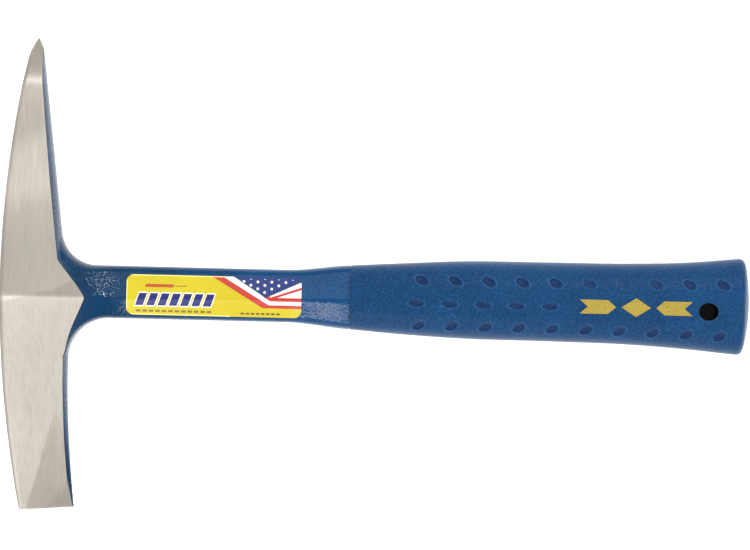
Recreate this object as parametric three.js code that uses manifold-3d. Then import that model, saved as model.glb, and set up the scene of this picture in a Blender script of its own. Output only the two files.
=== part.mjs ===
// One-piece forged rock hammer, lying on its side. Millimetres.
// +X runs along the handle from the head to the butt, +Y towards the pick, +Z up through the thickness.
// Heights are worked out about the forging's parting plane, and the finished group is lifted onto Z = 0.
import * as THREE from 'three';
import { mergeVertices } from 'three/addons/utils/BufferGeometryUtils.js';
import Module from 'manifold-3d';

const wasm = await Module();
wasm.setup();

// ---------- driving dimensions ----------
const OVERALL_LENGTH = 279.4;      // head face to butt, 11 inches
const PICK_REACH = 94.1;           // handle centreline to the pick's point
const CHISEL_REACH = 81.1;         // handle centreline to the middle of the chisel's edge

// head, ground faces
const HEAD_FACE_X = 0.25;          // crown of the head's outer face
const HEAD_FACE_R = 412;           // the outer face is one long arc
const HEAD_FACE_CROWN_Y = 3.5;
const HEAD_HALF = 11;              // half thickness at the thickest line
const THICKEST_Y = -1.5;
const EDGE_BREAK = 0.6;            // small bevel along the ground corners
const PICK_SHOULDER_Y = 77.5;      // where the pick's steeper point taper begins
const PICK_SHOULDER_HALF = 7.3;
const PICK_POINT_HALF = 0.5;
const CHISEL_EDGE_HALF = 0.35;
const CHISEL_BEVEL = 1.3;          // length of the bright edge bevel
const CHISEL_BEVEL_HALF = 1.15;
const CHISEL_TILT = 0.079;         // the chisel's edge leans by this slope
const CHISEL_MID_X = 19.4;
const LEAN_END_X = 31;             // beyond this the lean stays the same
const TIP_Y = 86;                  // from here to the point the ground envelope closes on both sides

// head, as-forged inner faces
const PICK_INNER_X = 25.3;         // inner face of the pick produced to the handle centreline
const PICK_INNER_SLOPE = -0.1225;
const CHISEL_INNER_X = 25.98;
const CHISEL_CURVE_Y = 30;         // beyond here the chisel's inner face curves towards the handle
const CHISEL_CURVE_RATE = 0.0035;
const CHISEL_CURVE_POWER = 1.763;
const PICK_DRAFT = 2.3;            // how far the inner face falls back from parting line to cheek
const CHISEL_DRAFT = 1.6;

// neck
const NECK_TOP = 9.9;
const NECK_BOTTOM = 9.55;
const NECK_RIDGE_HALF = 6.5;
const NECK_EDGE_HALF = 4.2;
const NECK_END_X = 130.4;
const FLARE_X = [107, 133];        // the neck widens between here, to meet the grip
const FLARE_TOP = 2.3;             // how much the flare adds to each half width
const FLARE_BOTTOM = 2.15;
const FLARE_RIDGE = 1.6;           // and to the half thickness at the ridge and at the sides
const FLARE_EDGE = 1.8;
const EDGE_RISE = 4;               // how much thicker the sides become at the head
const RIDGE_Y_AT_HEAD = -2.1;
const RIDGE_Y_AT_GRIP = -1.25;
const RIDGE_SWEEP_R = 26.6;        // the ridge sweeps up to the cheeks on this radius
const RIDGE_SWEEP_X = 46;
const PICK_FILLET_R = 13.5;
const PICK_FILLET = [36.05, 23.4];
const CHISEL_FILLET_R = 15.2;
const CHISEL_FILLET = [41.2, -24.75];
const FILLET_REACH = 0.97;         // a fillet follows its arc for this share of the radius, then runs level

// enamel, label and foil
const COAT_GAP = 0.04;
const COAT = 0.3;
const COAT_START_X = 12.1;         // the coat is kept between here and the end of the neck
const LABEL_X = [47.4, 112.5];
const LABEL_Y = [-8.0, 6.9];
const LABEL_CORNER = 2.6;
const LABEL_THICK = 0.25;
const LABEL_GAP = 0.08;            // clear of the enamel
const FOIL_THICK = 0.15;
const FOIL_GAP = 0.03;
const MARK_MID = [237, -1];
const LOZENGE = [11, 7];           // length and height
const CHEVRON_X = [7.5, 21];       // from the middle of the mark to the inner and outer end of a chevron
const CHEVRON_HALF = 2.6;
const CHEVRON_DIP = 3;             // depth of its point and of its notch

// grip and tang
const GRIP_START_X = 130.7;
const GRIP_HALF = 11;              // half thickness along the flats
const GRIP_FLAT = 1.045;           // the section's crown is cut off by this ratio, leaving the flats
const GRIP_POWER = 2.5;            // squareness of the grip's section
const HANG_HOLE = [264, -1.9];
const HANG_HOLE_HALF = [3.5, 3.1]; // the hole is slightly oval
const TANG_HALF_WIDTH = 6.8;
const TANG_HALF_THICK = 3.4;
const TANG_END_X = 271.4;
const TANG_BEVEL = 1.2;
const TANG_SHIFT_X = [170, 250];   // the tang moves over to the hang hole's line between here
const MOULD_GAP = 0.3;

// ---------- small tools ----------
const lerp = (a, b, t) => a + (b - a) * t;
const clamp01 = (t) => Math.min(1, Math.max(0, t));
const ramp = (x, a, b) => clamp01((x - a) / (b - a));
const smooth = (x, a, b) => THREE.MathUtils.smoothstep(x, a, b);

// Evenly spaced values from a to b, both included.
function spread(a, b, count) {
  return Array.from({ length: count }, (_, i) => lerp(a, b, i / (count - 1)));
}

// A closed body through rings of equal length. Each end is capped by a fan, or, for a folded film whose
// ring runs out along one face and back along the other, by a strip between the two faces.
function loft(rings, folded = false) {
  const n = rings[0].length;
  const points = rings.flat();
  const faces = [];
  for (let r = 0; r < rings.length - 1; r += 1) {
    for (let i = 0; i < n; i += 1) {
      const j = (i + 1) % n;
      const [a, b, c, d] = [r * n + i, r * n + j, (r + 1) * n + j, (r + 1) * n + i];
      faces.push(a, b, c, a, c, d);
    }
  }
  const cap = (ring, base, flip) => {
    if (folded) {
      for (let i = 0; i < n / 2 - 1; i += 1) {
        const [a, b, c, d] = [i, i + 1, n - 2 - i, n - 1 - i].map((k) => base + k);
        faces.push(...(flip ? [a, c, b, a, d, c] : [a, b, c, a, c, d]));
      }
      return;
    }
    const mid = new THREE.Vector3();
    ring.forEach((p) => mid.add(p));
    points.push(mid.divideScalar(n));
    for (let i = 0; i < n; i += 1) {
      const j = (i + 1) % n;
      const [p, q] = flip ? [base + j, base + i] : [base + i, base + j];
      faces.push(points.length - 1, p, q);
    }
  };
  cap(rings[0], 0, true);
  cap(rings[rings.length - 1], (rings.length - 1) * n, false);
  const geometry = new THREE.BufferGeometry();
  geometry.setAttribute('position', new THREE.Float32BufferAttribute(points.flatMap((p) => p.toArray()), 3));
  geometry.setIndex(faces);
  return geometry;
}

function solid(geometry) {
  const g = geometry.clone();
  g.deleteAttribute('normal');
  g.deleteAttribute('uv');
  const merged = mergeVertices(g, 1e-4);
  return new wasm.Manifold(new wasm.Mesh({
    numProp: 3,
    vertProperties: new Float32Array(merged.attributes.position.array),
    triVerts: new Uint32Array(merged.index.array),
  }));
}

function toGeometry(body) {
  const mesh = body.getMesh();
  const geometry = new THREE.BufferGeometry();
  geometry.setAttribute('position', new THREE.Float32BufferAttribute(mesh.vertProperties, 3));
  geometry.setIndex(Array.from(mesh.triVerts));
  return geometry;
}

// ---------- head ----------
// Everything on the head is a section across Y, written as a ring in X and Z.
const outerFaceX = (y) => {
  const dy = y - HEAD_FACE_CROWN_Y;
  return HEAD_FACE_X + HEAD_FACE_R - Math.sqrt(HEAD_FACE_R ** 2 - dy ** 2);
};

const innerFaceX = (y) => (y > 0
  ? PICK_INNER_X + PICK_INNER_SLOPE * y
  : CHISEL_INNER_X + CHISEL_CURVE_RATE * Math.max(0, -y - CHISEL_CURVE_Y) ** CHISEL_CURVE_POWER);

const innerDraft = (y) => lerp(CHISEL_DRAFT, PICK_DRAFT, smooth(y, -12, 12));

// Half thickness between the ground cheeks.
function cheekHalf(y) {
  if (y > PICK_SHOULDER_Y) {
    return lerp(PICK_SHOULDER_HALF, PICK_POINT_HALF, ramp(y, PICK_SHOULDER_Y, PICK_REACH) ** 1.25);
  }
  if (y > THICKEST_Y) {
    return lerp(HEAD_HALF, PICK_SHOULDER_HALF, ramp(y, THICKEST_Y, PICK_SHOULDER_Y));
  }
  const bevelY = -CHISEL_REACH + CHISEL_BEVEL;
  if (y > bevelY) {
    return lerp(HEAD_HALF, CHISEL_BEVEL_HALF, ramp(y, THICKEST_Y, bevelY) ** 0.92);
  }
  return lerp(CHISEL_BEVEL_HALF, CHISEL_EDGE_HALF, ramp(y, bevelY, -CHISEL_REACH));
}

// Stations near the chisel's edge lean with it.
const leanY = (y, x) => y + CHISEL_TILT * (x - CHISEL_MID_X) * smooth(-y, 55, CHISEL_REACH);

const HEAD_STATIONS = [
  -CHISEL_REACH, -CHISEL_REACH + CHISEL_BEVEL, ...spread(-74, -12, 7), THICKEST_Y,
  ...spread(10, 67, 6), PICK_SHOULDER_Y, 83, 87, 90, 92, 93.3, PICK_REACH,
];

// The head before grinding: the drafted inner face is finished, the other sides and both ends carry stock.
function headBlank(grow) {
  const stock = 2;
  const rings = [-CHISEL_REACH - stock, ...HEAD_STATIONS, PICK_REACH + stock].map((y) => {
    const half = cheekHalf(y);
    const ring = [];
    for (const t of [1.16, 1, 0.8, 0.55, 0.28, 0, -0.28, -0.55, -0.8, -1, -1.16]) {
      const x = innerFaceX(y) + grow - innerDraft(y) * t * t * Math.min(1, half / 6);
      ring.push(new THREE.Vector3(x, leanY(y, x), t * half));
    }
    const x = outerFaceX(y) - stock;
    ring.push(new THREE.Vector3(x, leanY(y, x), -1.16 * half));
    ring.push(new THREE.Vector3(x, leanY(y, x), 1.16 * half));
    return ring;
  });
  return solid(loft(rings));
}

// The envelope left by grinding: outer face, both cheeks, the point and the chisel's edge.
function groundEnvelope() {
  const clearX = OVERALL_LENGTH + 10;
  const tip = outerFaceX(PICK_REACH) + 1.9;
  const rings = HEAD_STATIONS.map((y) => {
    const half = cheekHalf(y);
    const close = ramp(y, TIP_Y + 1, PICK_REACH) ** 1.8;
    const low = lerp(outerFaceX(y), tip - 0.25, close);
    const high = y > TIP_Y ? lerp(innerFaceX(y) + 0.4, tip + 0.25, close) : clearX;
    const edge = Math.min(EDGE_BREAK, half * 0.3);
    const kink = y > TIP_Y ? (low + high) / 2 : LEAN_END_X;
    const ring = [
      [high, half], [high, -half], [kink, -half], [low + edge, -half],
      [low, -half + edge], [low, half - edge], [low + edge, half], [kink, half],
    ];
    return ring.map(([x, z]) => new THREE.Vector3(x, leanY(y, Math.min(x, LEAN_END_X)), z));
  });
  return solid(loft(rings));
}

// ---------- neck ----------
// Sections across X, written as a ring in Y and Z: rounded sides under a two-sided roof, mirrored below.
const neckFlare = (x) => smooth(x, ...FLARE_X);

// The neck's sides sweep out to the head on fillets. Inset is how far a level of the side has fallen back
// from the parting line, which on the fillet means a larger radius about the same centre.
function topY(x, grow, inset) {
  const plain = NECK_TOP + FLARE_TOP * neckFlare(x) + grow - inset;
  const radius = PICK_FILLET_R - grow + inset;
  const reach = Math.min(PICK_FILLET[0] - x, radius * FILLET_REACH);
  return reach > 0 ? PICK_FILLET[1] - Math.sqrt(radius ** 2 - reach ** 2) : plain;
}

function bottomY(x, grow, inset) {
  const plain = -NECK_BOTTOM - FLARE_BOTTOM * neckFlare(x) - grow + inset;
  const radius = CHISEL_FILLET_R - grow + inset;
  const reach = Math.min(CHISEL_FILLET[0] - x, radius * FILLET_REACH);
  return reach > 0 ? CHISEL_FILLET[1] + Math.sqrt(radius ** 2 - reach ** 2) : plain;
}

const ridgeY = (x) => lerp(RIDGE_Y_AT_HEAD, RIDGE_Y_AT_GRIP, ramp(x, 31, 120));

function ridgeHalf(x) {
  const run = Math.min(Math.max(RIDGE_SWEEP_X - x, 0), RIDGE_SWEEP_R * 0.9);
  const sweep = RIDGE_SWEEP_R - Math.sqrt(RIDGE_SWEEP_R ** 2 - run ** 2);
  return NECK_RIDGE_HALF + sweep + FLARE_RIDGE * neckFlare(x);
}

const edgeHalf = (x) => NECK_EDGE_HALF + EDGE_RISE * (1 - smooth(x, 24, RIDGE_SWEEP_X))
  + FLARE_EDGE * neckFlare(x);

const SIDE_ROUND = [[0, 0], [0.1, 0.5], [0.42, 0.84], [1, 1]];  // inward and upward shares of the rounding
const TOP_ROUND = 2.4;
const BOTTOM_ROUND = 1.4;

const NECK_STATIONS = [
  17, ...spread(20.6, 34.4, 16), 36.05, 38.5, 41.3, RIDGE_SWEEP_X, 60, 75, 90,
  ...spread(FLARE_X[0], NECK_END_X, 8),
];

function neckBlank(grow) {
  const rings = NECK_STATIONS.map((x) => {
    const edge = edgeHalf(x) + grow;
    const upper = [
      ...SIDE_ROUND.map(([inward, up]) => [topY(x, grow, TOP_ROUND * inward), edge * up]),
      [ridgeY(x), ridgeHalf(x) + grow],
      ...SIDE_ROUND.map(([inward, up]) => [bottomY(x, grow, BOTTOM_ROUND * inward), edge * up]).reverse(),
    ];
    const lower = upper.slice(1, -1).reverse().map(([y, z]) => [y, -z]);
    return [...upper, ...lower].map(([y, z]) => new THREE.Vector3(x, y, z));
  });
  return solid(loft(rings));
}

// Height of the roof over a point of the neck, on the enamel's outer face.
function roofZ(x, y, grow) {
  const crown = ridgeHalf(x) + grow;
  const edge = edgeHalf(x) + grow;
  const side = y > ridgeY(x) ? topY(x, grow, TOP_ROUND) : bottomY(x, grow, BOTTOM_ROUND);
  return lerp(crown, edge, (y - ridgeY(x)) / (side - ridgeY(x)));
}

// ---------- tang, buried in the grip ----------
// A flat bar with a rounded end; grow thickens it to cut the cavity that the grip is moulded round.
function tang(grow, startX) {
  const w = TANG_HALF_WIDTH + grow;
  const h = TANG_HALF_THICK + grow;
  const roundFrom = TANG_END_X - TANG_HALF_WIDTH;
  const stations = [startX, roundFrom, ...[0.35, 0.65, 0.87, 1].map((t) => roundFrom + w * t)];
  const rings = stations.map((x) => {
    const t = Math.max(0, (x - roundFrom) / w);
    const half = w * Math.max(Math.sqrt(Math.max(0, 1 - t * t)), 0.28);
    const cy = HANG_HOLE[1] * smooth(x, ...TANG_SHIFT_X);
    const [flat, side] = [half - TANG_BEVEL * 0.5, h - TANG_BEVEL];
    const section = [
      [flat, h], [half, side], [half, -side], [flat, -h],
      [-flat, -h], [-half, -side], [-half, side], [-flat, h],
    ];
    return section.reverse().map(([y, z]) => new THREE.Vector3(x, cy + y, z));
  });
  return solid(loft(rings));
}

function hangCore() {
  const core = new THREE.CylinderGeometry(1, 1, 40, 28).rotateX(Math.PI / 2);
  core.scale(HANG_HOLE_HALF[0], HANG_HOLE_HALF[1], 1);
  return solid(core.translate(HANG_HOLE[0], HANG_HOLE[1], 0));
}

// ---------- grip ----------
// Control rows: X, half width towards the pick, half width towards the chisel, half thickness.
const GRIP_ROWS = [
  [GRIP_START_X, 12.2, 11.7, 8.7],
  [150, 13.45, 13.1, 10.2],
  [172, 14.75, 14.1, 10.95],
  [205, 15.1, 14.4, GRIP_HALF],
  [235, 15.4, 14.9, GRIP_HALF],
  [256, 16.3, 16.1, GRIP_HALF],
  [275, 18.15, 17.75, GRIP_HALF],
];

const gripCurve = (column) => new THREE.CatmullRomCurve3(
  GRIP_ROWS.map((row) => new THREE.Vector3(row[0], row[column], 0)), false, 'centripetal');
const [gripTop, gripBottom, gripThick] = [1, 2, 3].map((column) => gripCurve(column).getPoints(60));

function readCurve(points, x) {
  const i = Math.min(points.length - 2, Math.max(0, points.findIndex((p) => p.x > x) - 1));
  const k = x >= points[points.length - 1].x ? points.length - 2 : i;
  return lerp(points[k].y, points[k + 1].y, ramp(x, points[k].x, points[k + 1].x));
}

// The butt's corner rounds over, then its end face crowns out to the full length.
const BUTT_END = [[275, 1], [276.2, 0.985], [277.1, 0.94], [277.8, 0.84], [278.5, 0.62], [279.1, 0.33],
  [OVERALL_LENGTH, 0.06]];

function gripRing(x, shrink) {
  const top = readCurve(gripTop, x);
  const bottom = readCurve(gripBottom, x);
  const half = Math.min(GRIP_HALF, readCurve(gripThick, x));
  const count = 36;
  const ring = [];
  for (let i = 0; i < count; i += 1) {
    const a = (i / count) * Math.PI * 2;
    const c = Math.sign(Math.cos(a)) * Math.abs(Math.cos(a)) ** (2 / GRIP_POWER);
    const s = Math.sign(Math.sin(a)) * Math.abs(Math.sin(a)) ** (2 / GRIP_POWER);
    const y = c > 0 ? c * top : c * bottom;
    const z = Math.max(-half, Math.min(half, s * half * GRIP_FLAT));
    ring.push(new THREE.Vector3(x, y * shrink, z * shrink));
  }
  return ring;
}

// Three rows of oval finger dimples: the outer rows lean outwards towards the butt.
const DIMPLE_PITCH = 12.45;
const DIMPLE_HALF = [2.6, 1.65, 0.75];
const DIMPLE_LIFT = 0.1;           // the cutters stand this much proud of the surface
const DIMPLE_ROWS = [
  { count: 10, startX: 157.2, y: 7.2, spreadY: 0.9, lean: -0.45 },
  { count: 5, startX: 155.2, y: -1.5, spreadY: 0, lean: 0 },
  { count: 10, startX: 156.2, y: -9.5, spreadY: -1.6, lean: 0.45 },
];

function dimpleCutters() {
  const cutters = [];
  for (const row of DIMPLE_ROWS) {
    for (let i = 0; i < row.count; i += 1) {
      const x = row.startX + DIMPLE_PITCH * i;
      const y = row.y + row.spreadY * (i / (row.count - 1)) ** 3;
      const reach = y > 0 ? readCurve(gripTop, x) : readCurve(gripBottom, x);
      const crown = (1 - Math.min(0.98, Math.abs(y) / reach) ** GRIP_POWER) ** (1 / GRIP_POWER);
      const z = readCurve(gripThick, x) * Math.min(1, crown * GRIP_FLAT);
      const tilt = Math.asin(Math.min(0.75, (Math.abs(y) / reach) ** 2)) * Math.sign(y);
      for (const side of [1, -1]) {
        const cutter = new THREE.SphereGeometry(1, 8, 4);
        cutter.scale(...DIMPLE_HALF);
        cutter.rotateZ(row.lean);
        cutter.rotateX(-tilt);
        cutter.translate(x, y, z + DIMPLE_LIFT);
        if (side < 0) {
          cutter.rotateX(Math.PI);
          cutter.scale(1, -1, 1);
          cutter.setIndex(Array.from(cutter.index.array).reverse());
        }
        cutters.push(solid(cutter));
      }
    }
  }
  return cutters;
}

const GRIP_STATIONS = [GRIP_START_X, 140, 150, 161, 172, 188, 205, 220, 235, 246, 256, 263, 269];

function gripBody() {
  const body = GRIP_STATIONS.map((x) => gripRing(x, 1));
  const end = BUTT_END.map(([x, shrink]) => gripRing(x, shrink));
  let grip = solid(loft([...body, ...end]));
  grip = grip.subtract(tang(MOULD_GAP, GRIP_START_X - 5));
  grip = grip.subtract(hangCore());
  for (const cutter of dimpleCutters()) {
    grip = grip.subtract(cutter);
  }
  return grip;
}

// ---------- forging and its enamel ----------
function forgingBody() {
  const eye = tang(0, NECK_END_X - 4).subtract(hangCore());
  return headBlank(0).add(neckBlank(0)).intersect(groundEnvelope()).add(eye);
}

function enamelBody() {
  const outside = headBlank(COAT_GAP + COAT).add(neckBlank(COAT_GAP + COAT));
  const inside = headBlank(COAT_GAP).add(neckBlank(COAT_GAP));
  const keep = new THREE.BoxGeometry(NECK_END_X - COAT_START_X, 400, 60);
  keep.translate((NECK_END_X + COAT_START_X) / 2, 0, 0);
  return outside.subtract(inside).intersect(groundEnvelope()).intersect(solid(keep));
}

// ---------- label ----------
// A thin film folded over the neck's ridge, with rounded corners.
function labelBody() {
  const [x0, x1] = LABEL_X;
  const base = COAT_GAP + COAT + LABEL_GAP;
  const corner = spread(0, Math.PI / 2, 5).map((a) => [1 - Math.cos(a), 1 - Math.sin(a)]);
  const ends = corner.map(([dx, dy]) => [dx * LABEL_CORNER, dy * LABEL_CORNER]);
  const stations = [
    ...ends.map(([dx, dy]) => [x0 + dx, dy]),
    ...[60, 75, 90, 107].map((x) => [x, 0]),
    ...ends.reverse().map(([dx, dy]) => [x1 - dx, dy]),
  ];
  const rings = stations.map(([x, inset]) => {
    const ys = [LABEL_Y[1] - inset, ridgeY(x), LABEL_Y[0] + inset];
    const over = ys.map((y) => new THREE.Vector3(x, y, roofZ(x, y, base) + LABEL_THICK));
    const under = ys.map((y) => new THREE.Vector3(x, y, roofZ(x, y, base))).reverse();
    return [...over, ...under];
  });
  return solid(loft(rings, true));
}

// ---------- foil mark on the grip's flat ----------
function foil(outline) {
  const shape = new THREE.Shape(outline.map(([x, y]) => new THREE.Vector2(x, y)));
  const sheet = new THREE.ExtrudeGeometry(shape, { depth: FOIL_THICK, bevelEnabled: false });
  return solid(sheet.translate(0, 0, GRIP_HALF + FOIL_GAP));
}

function lozenge() {
  const [x, y] = MARK_MID;
  const [length, height] = LOZENGE;
  return [[x - length / 2, y], [x, y - height / 2], [x + length / 2, y], [x, y + height / 2]];
}

// An arrow-like bar beside the lozenge; side is -1 towards the head, +1 towards the butt.
function chevron(side) {
  const [x, y] = MARK_MID;
  const [[inner, outer], half, dip] = [CHEVRON_X, CHEVRON_HALF, CHEVRON_DIP];
  const points = [
    [x + side * (inner + dip), y - half], [x + side * outer, y - half], [x + side * (outer - dip), y],
    [x + side * outer, y + half], [x + side * (inner + dip), y + half], [x + side * inner, y],
  ];
  return side > 0 ? points : points.reverse();
}

// ---------- assembly ----------
const COLOURS = {
  ground_steel: { color: '#c9c3ba', roughness: 0.34, metalness: 1 },
  blue_enamel: { color: '#1f5690', roughness: 0.3, metalness: 0.25 },
  blue_vinyl: { color: '#274f86', roughness: 0.5, metalness: 0 },
  yellow_film: { color: '#efd82c', roughness: 0.35, metalness: 0 },
  gold_foil: { color: '#c9a85a', roughness: 0.35, metalness: 1 },
};

const hammer = new THREE.Group();
hammer.name = 'rock_hammer';

function piece(name, body, look) {
  const mesh = new THREE.Mesh(toGeometry(body), new THREE.MeshStandardMaterial(COLOURS[look]));
  mesh.name = name;
  mesh.material.name = look;
  hammer.add(mesh);
}

piece('forging', forgingBody(), 'ground_steel');
piece('enamel_coat', enamelBody(), 'blue_enamel');
piece('grip', gripBody(), 'blue_vinyl');
piece('neck_label', labelBody(), 'yellow_film');
piece('grip_mark_lozenge', foil(lozenge()), 'gold_foil');
piece('grip_mark_head_side', foil(chevron(-1)), 'gold_foil');
piece('grip_mark_butt_side', foil(chevron(1)), 'gold_foil');

// The origin is the middle of the footprint, on the surface the hammer lies on.
const bounds = new THREE.Box3();
hammer.children.forEach((mesh) => {
  mesh.geometry.computeBoundingBox();
  bounds.union(mesh.geometry.boundingBox);
});
const middle = bounds.getCenter(new THREE.Vector3());
hammer.children.forEach((mesh) => mesh.geometry.translate(-middle.x, -middle.y, -bounds.min.z));

export default hammer;
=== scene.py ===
import math

import bmesh
import bpy
import numpy as np
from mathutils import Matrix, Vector


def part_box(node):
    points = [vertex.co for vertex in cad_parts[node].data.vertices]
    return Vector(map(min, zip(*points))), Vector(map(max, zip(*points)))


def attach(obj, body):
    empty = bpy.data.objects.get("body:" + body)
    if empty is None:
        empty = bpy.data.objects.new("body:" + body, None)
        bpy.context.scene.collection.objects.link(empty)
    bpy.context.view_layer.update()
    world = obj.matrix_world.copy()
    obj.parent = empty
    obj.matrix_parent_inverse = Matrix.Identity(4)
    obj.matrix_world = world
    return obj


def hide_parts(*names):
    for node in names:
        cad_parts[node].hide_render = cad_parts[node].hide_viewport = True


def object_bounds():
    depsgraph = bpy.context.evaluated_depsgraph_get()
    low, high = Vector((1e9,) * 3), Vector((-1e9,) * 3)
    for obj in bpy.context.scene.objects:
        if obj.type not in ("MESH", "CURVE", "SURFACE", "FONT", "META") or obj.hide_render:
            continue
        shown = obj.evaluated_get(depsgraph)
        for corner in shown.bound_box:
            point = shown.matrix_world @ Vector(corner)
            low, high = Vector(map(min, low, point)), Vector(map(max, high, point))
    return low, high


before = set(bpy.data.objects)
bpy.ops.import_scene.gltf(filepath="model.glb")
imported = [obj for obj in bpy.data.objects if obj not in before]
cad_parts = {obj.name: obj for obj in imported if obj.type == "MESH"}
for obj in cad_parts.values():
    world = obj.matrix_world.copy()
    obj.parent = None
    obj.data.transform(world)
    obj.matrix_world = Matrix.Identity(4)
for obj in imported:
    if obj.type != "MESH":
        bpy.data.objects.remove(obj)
CAD_LOW, CAD_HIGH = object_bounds()

# ---------------------------------------------------------------------------
# The forging's own millimetres: x along the handle from the head's outer face, y towards the pick,
# z about the parting plane. place() turns them into the frame's metres, from the CAD boxes.
# ---------------------------------------------------------------------------
MM = 0.001
LENGTH = 279.4
PICK_REACH = 94.1
CHISEL_REACH = 81.1

_forging_low, _forging_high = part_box("forging")
_, _grip_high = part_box("grip")
ORIGIN = Vector((_grip_high.x - LENGTH * MM,
                 _forging_high.y - PICK_REACH * MM,
                 (_forging_low.z + _forging_high.z) / 2))


def place(points):
    return np.asarray(points, float) * MM + np.array(ORIGIN)


# ---------------------------------------------------------------------------
# small tools
# ---------------------------------------------------------------------------
def lerp(a, b, t):
    return a + (b - a) * t


def ramp(x, a, b):
    return np.clip((x - a) / (b - a), 0.0, 1.0)


def smooth(x, a, b):
    t = ramp(x, a, b)
    return t * t * (3 - 2 * t)


def through(xs, ys, x):
    """A smooth curve through control points (Catmull-Rom slopes, Hermite spans)."""
    xs, ys = np.asarray(xs, float), np.asarray(ys, float)
    slopes = np.gradient(ys, xs)
    x = np.clip(np.asarray(x, float), xs[0], xs[-1])
    i = np.clip(np.searchsorted(xs, x, side="right") - 1, 0, len(xs) - 2)
    h = xs[i + 1] - xs[i]
    t = (x - xs[i]) / h
    h00, h10 = 2 * t**3 - 3 * t**2 + 1, t**3 - 2 * t**2 + t
    h01, h11 = -2 * t**3 + 3 * t**2, t**3 - t**2
    return h00 * ys[i] + h10 * h * slopes[i] + h01 * ys[i + 1] + h11 * h * slopes[i + 1]


def mesh_object(name, points, faces):
    """A new object from points in the forging's millimetres, with its faces pointing out."""
    mesh = bpy.data.meshes.new(name)
    mesh.from_pydata(place(points).tolist(), [], faces)
    obj = bpy.data.objects.new(name, mesh)
    bpy.context.scene.collection.objects.link(obj)
    bm = bmesh.new()
    bm.from_mesh(mesh)
    bmesh.ops.recalc_face_normals(bm, faces=bm.faces)
    bm.to_mesh(mesh)
    bm.free()
    return obj


def loft(name, rings):
    """A closed body through rings of equal length, with a flat face at each end."""
    rings = np.asarray(rings, float)
    count, n, _ = rings.shape
    i = np.arange(n)
    j = (i + 1) % n
    starts = (np.arange(count - 1) * n)[:, None, None]
    quads = (np.stack([i, j, j + n, i + n], 1)[None] + starts).reshape(-1, 4).tolist()
    ends = [list(range(n)), list(range((count - 1) * n, count * n))]
    return mesh_object(name, rings.reshape(-1, 3), quads + ends)


def bake_modifiers(obj):
    """Turns the object's modifiers into plain mesh."""
    graph = bpy.context.evaluated_depsgraph_get()
    done = bpy.data.meshes.new_from_object(obj.evaluated_get(graph))
    old = obj.data
    obj.modifiers.clear()
    obj.data = done
    bpy.data.meshes.remove(old)
    return obj


def discard(*objects):
    for obj in objects:
        bpy.data.objects.remove(obj)


def boolean(obj, tool, operation):
    m = obj.modifiers.new("cut", "BOOLEAN")
    m.operation = operation
    m.object = tool
    m.solver = "MANIFOLD"
    bake_modifiers(obj)


def use_up(tool, operation, *pieces):
    """Joins the tool to each piece or cuts each piece with it, then removes the tool."""
    for piece in pieces:
        boolean(piece, tool, operation)
    discard(tool)


def copy_of(obj, name):
    twin = bpy.data.objects.new(name, obj.data.copy())
    bpy.context.scene.collection.objects.link(twin)
    return twin


def fuse(objects, name, voxel_mm, passes):
    """Overlapping closed bodies become one skin with soft, forged-looking creases."""
    points, faces, base = [], [], 0
    for obj in objects:
        points += [v.co[:] for v in obj.data.vertices]
        faces += [[k + base for k in p.vertices] for p in obj.data.polygons]
        base = len(points)
    mesh = bpy.data.meshes.new(name)
    mesh.from_pydata(points, [], faces)
    fused = bpy.data.objects.new(name, mesh)
    bpy.context.scene.collection.objects.link(fused)
    discard(*objects)
    m = fused.modifiers.new("skin", "REMESH")
    m.mode = "VOXEL"
    m.voxel_size = voxel_mm * MM
    s = fused.modifiers.new("soften", "SMOOTH")
    s.factor = 0.5
    s.iterations = passes
    return bake_modifiers(fused)


def finish_shading(obj, angle_deg):
    obj.data.shade_smooth()
    obj.data.set_sharp_from_angle(angle=math.radians(angle_deg))


# ---------------------------------------------------------------------------
# head: the drafted inner faces are forged, everything else is ground
# ---------------------------------------------------------------------------
HEAD_FACE_X, HEAD_FACE_R, HEAD_FACE_CROWN_Y = 0.25, 412.0, 3.5  # the outer face is one long arc
HEAD_HALF, THICKEST_Y = 11.0, -1.5
PICK_SHOULDER_Y, PICK_SHOULDER_HALF, PICK_POINT_HALF = 77.5, 7.3, 0.45
SHOULDER_TURN = 1.3  # the cheek is averaged this far to each side of the shoulder
CHISEL_BEVEL, CHISEL_BEVEL_HALF, CHISEL_EDGE_HALF = 0.5, 1.15, 0.35
CHISEL_TILT, CHISEL_MID_X = 0.079, 19.4  # the chisel's edge leans by this slope
LEAN_START, LEAN_END_X = 55.0, 31.0  # the lean begins this far down the chisel, and is constant past this x
PICK_INNER_X, PICK_INNER_SLOPE = 25.3, 0.1225
CHISEL_INNER_X = 25.98
CHISEL_CURVE_START, CHISEL_CURVE_RATE, CHISEL_CURVE_POWER = 30.0, 0.0035, 1.763
PICK_DRAFT, CHISEL_DRAFT = 2.3, 1.6
PICK_FADE_HALF, PICK_FADE_POWER, CHISEL_FADE_HALF = 9.0, 1.9, 2.6  # where thinner, the draft fades out
SHELL = 0.12  # thickness of the enamel


def outer_x(y):
    """The head's outer face."""
    return HEAD_FACE_X + HEAD_FACE_R - np.sqrt(HEAD_FACE_R**2 - (y - HEAD_FACE_CROWN_Y) ** 2)


def inner_x(y):
    """The head's face towards the handle: straight on the pick, curved low on the chisel."""
    bend = CHISEL_CURVE_RATE * np.maximum(0.0, -y - CHISEL_CURVE_START) ** CHISEL_CURVE_POWER
    return np.where(y > 0, PICK_INNER_X - PICK_INNER_SLOPE * y, CHISEL_INNER_X + bend)


def cheek_half(y):
    """Half thickness of the head at its cheek, with the belt's soft turn at the pick's shoulder."""
    turn = SHOULDER_TURN * smooth(np.abs(y - PICK_SHOULDER_Y), 5.0, 1.5)
    return (cheek_line(y - turn) + cheek_line(y) + cheek_line(y + turn)) / 3


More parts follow.
